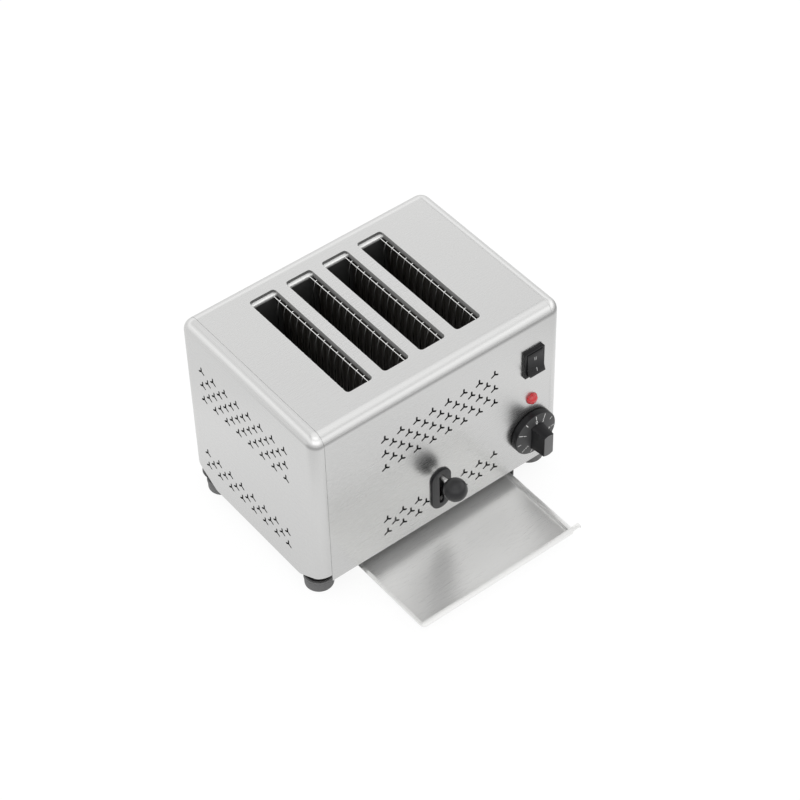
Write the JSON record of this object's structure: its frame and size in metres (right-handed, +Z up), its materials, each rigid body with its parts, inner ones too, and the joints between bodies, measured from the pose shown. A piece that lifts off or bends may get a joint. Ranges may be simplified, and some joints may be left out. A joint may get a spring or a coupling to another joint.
{
  "type": "toaster",
  "caption": "Bread toaster in a bent stainless casing with perforated fields, long slots with wire guards, lowering lever, timer knob, rocker switch, lamp and pull-out crumb tray",
  "frame": {"origin": "On the surface that the feet stand on, under the middle of the whole with the tray pulled out as at rest", "axes": "+Z up, the controls and the tray face -Y, +X to the right seen from the controls"},
  "size_m": [0.2972, 0.313, 0.225],
  "materials": {
    "stainless": "satin stainless sheet",
    "inner_steel": "dull zinc-plated sheet",
    "bright_wire": "bright drawn wire and bar",
    "black_plastic": "fine satin moulding",
    "foot_rubber": "matt moulded rubber",
    "mica": "dark mica board",
    "red_lens": "clear red moulding",
    "pale_plastic": "heat-proof moulding"
  },
  "bodies": {
    "chassis": {"wrap_cover": "stainless", "left_side_panel": "stainless", "right_side_panel": "stainless", "base_pan": "inner_steel", "front_bulkhead": "inner_steel", "rear_bulkhead": "inner_steel", "left_chamber_wall": "inner_steel", "right_chamber_wall": "inner_steel", "heater_board_1": "mica", "heater_board_2": "mica", "heater_board_3": "mica", "heater_board_4": "mica", "heater_board_5": "mica", "wire_guard_1_left": "bright_wire", "wire_guard_1_right": "bright_wire", "wire_guard_2_left": "bright_wire", "wire_guard_2_right": "bright_wire", "wire_guard_3_left": "bright_wire", "wire_guard_3_right": "bright_wire", "wire_guard_4_left": "bright_wire", "wire_guard_4_right": "bright_wire", "guide_rod_left": "bright_wire", "guide_rod_right": "bright_wire", "return_spring_left": "bright_wire", "return_spring_right": "bright_wire", "hold_magnet": "inner_steel", "lever_escutcheon": "black_plastic", "timer_body": "pale_plastic", "lamp_lens": "red_lens", "lamp_body": "black_plastic", "switch_housing": "black_plastic", "terminal_block": "pale_plastic", "cord_gland": "black_plastic", "front_left_foot": "foot_rubber", "front_right_foot": "foot_rubber", "rear_left_foot": "foot_rubber", "rear_right_foot": "foot_rubber"},
    "lift": {"lift_carriage": "inner_steel", "lift_rear_bar": "inner_steel", "bread_rack_1": "inner_steel", "bread_rack_2": "inner_steel", "bread_rack_3": "inner_steel", "bread_rack_4": "inner_steel", "armature": "inner_steel", "lever_arm": "bright_wire", "lever_knob": "black_plastic"},
    "timer_control": {"timer_knob": "black_plastic", "timer_shaft": "inner_steel"},
    "rocker_control": {"switch_rocker": "black_plastic"},
    "tray": {"crumb_tray": "stainless"}
  },
  "joints": [
    {"name": "lever", "type": "slide", "parent": "chassis", "child": "lift", "axis": [0, 0, -1], "range_m": [0, 0.034], "stiffness_N_per_m": 120, "springref_m": -0.04, "deforming": ["return_spring_left", "return_spring_right"]},
    {"name": "timer", "type": "hinge", "parent": "chassis", "child": "timer_control", "pos_m": [0.1123, -0.0625, 0.071], "axis": [0, 1, 0], "range_deg": [0, 330]},
    {"name": "rocker", "type": "hinge", "parent": "chassis", "child": "rocker_control", "pos_m": [0.1123, -0.0635, 0.167], "axis": [1, 0, 0], "range_deg": [0, 22]},
    {"name": "tray_slide", "type": "slide", "parent": "chassis", "child": "tray", "axis": [0, -1, 0], "range_m": [-0.088, 0.07]}
  ]
}
